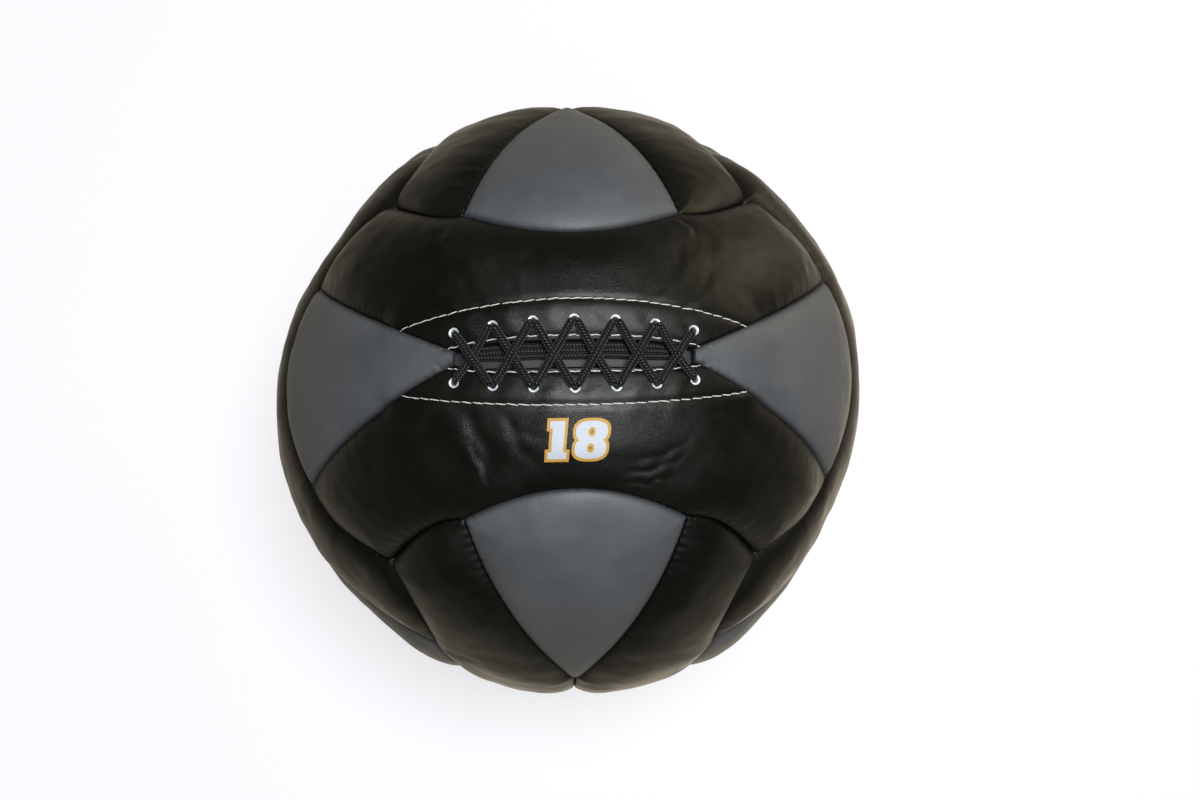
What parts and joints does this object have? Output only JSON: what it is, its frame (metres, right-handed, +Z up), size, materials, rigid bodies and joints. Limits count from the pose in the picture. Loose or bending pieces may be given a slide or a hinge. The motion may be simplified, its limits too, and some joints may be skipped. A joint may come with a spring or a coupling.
{
  "type": "wall ball",
  "caption": "Soft stuffed exercise ball with curved padded leather panels and a criss-cross lace through metal eyelets.",
  "frame": {"origin": "on the floor, under the middle of the ball", "axes": "+Z up through the laced face, +X along the slit, +Y across it towards the upper row of eyelets"},
  "size_m": [0.356, 0.356, 0.3578],
  "materials": {
    "black_leather": "black grained synthetic leather, softly glossy, with off-white seam stitching beside the lacing",
    "grey_leather": "dark grey grained synthetic leather, softly glossy",
    "eyelet_metal": "bright nickel-plated eyelets",
    "lining_cloth": "black woven reinforcing cloth",
    "tongue_leather": "matt black leather",
    "lace_braid": "round black braid with a herringbone of strands",
    "liner_cotton": "unbleached cotton cloth",
    "stuffing_fibre": "packed off-white fibre",
    "sack_canvas": "unbleached canvas",
    "ballast_grit": "packed heavy grit, a loose filling held by the sack",
    "tie_string": "twisted string"
  },
  "bodies": {
    "root": {"laced_long_panel_1": "black_leather", "laced_end_panel_1": "grey_leather", "laced_long_panel_2": "black_leather", "laced_end_panel_2": "grey_leather", "rest_long_panel_1": "black_leather", "rest_end_panel_1": "grey_leather", "rest_long_panel_2": "black_leather", "rest_end_panel_2": "grey_leather", "back_long_panel_1": "black_leather", "back_end_panel_1": "grey_leather", "back_long_panel_2": "black_leather", "back_end_panel_2": "grey_leather", "front_long_panel_1": "black_leather", "front_end_panel_1": "grey_leather", "front_long_panel_2": "black_leather", "front_end_panel_2": "grey_leather", "right_long_panel_1": "black_leather", "right_end_panel_1": "grey_leather", "right_long_panel_2": "black_leather", "right_end_panel_2": "grey_leather", "left_long_panel_1": "black_leather", "left_end_panel_1": "grey_leather", "left_long_panel_2": "black_leather", "left_end_panel_2": "grey_leather", "eyelet_upper_1": "eyelet_metal", "eyelet_upper_2": "eyelet_metal", "eyelet_upper_3": "eyelet_metal", "eyelet_upper_4": "eyelet_metal", "eyelet_upper_5": "eyelet_metal", "eyelet_upper_6": "eyelet_metal", "eyelet_upper_7": "eyelet_metal", "eyelet_lower_1": "eyelet_metal", "eyelet_lower_2": "eyelet_metal", "eyelet_lower_3": "eyelet_metal", "eyelet_lower_4": "eyelet_metal", "eyelet_lower_5": "eyelet_metal", "eyelet_lower_6": "eyelet_metal", "eyelet_lower_7": "eyelet_metal", "eyelet_facing_1": "lining_cloth", "eyelet_facing_2": "lining_cloth", "tongue": "tongue_leather", "lace": "lace_braid", "liner": "liner_cotton", "stuffing": "stuffing_fibre", "stuffing_wad": "stuffing_fibre", "ballast_sack": "sack_canvas", "ballast": "ballast_grit", "sack_tie": "tie_string"}
  },
  "joints": []
}
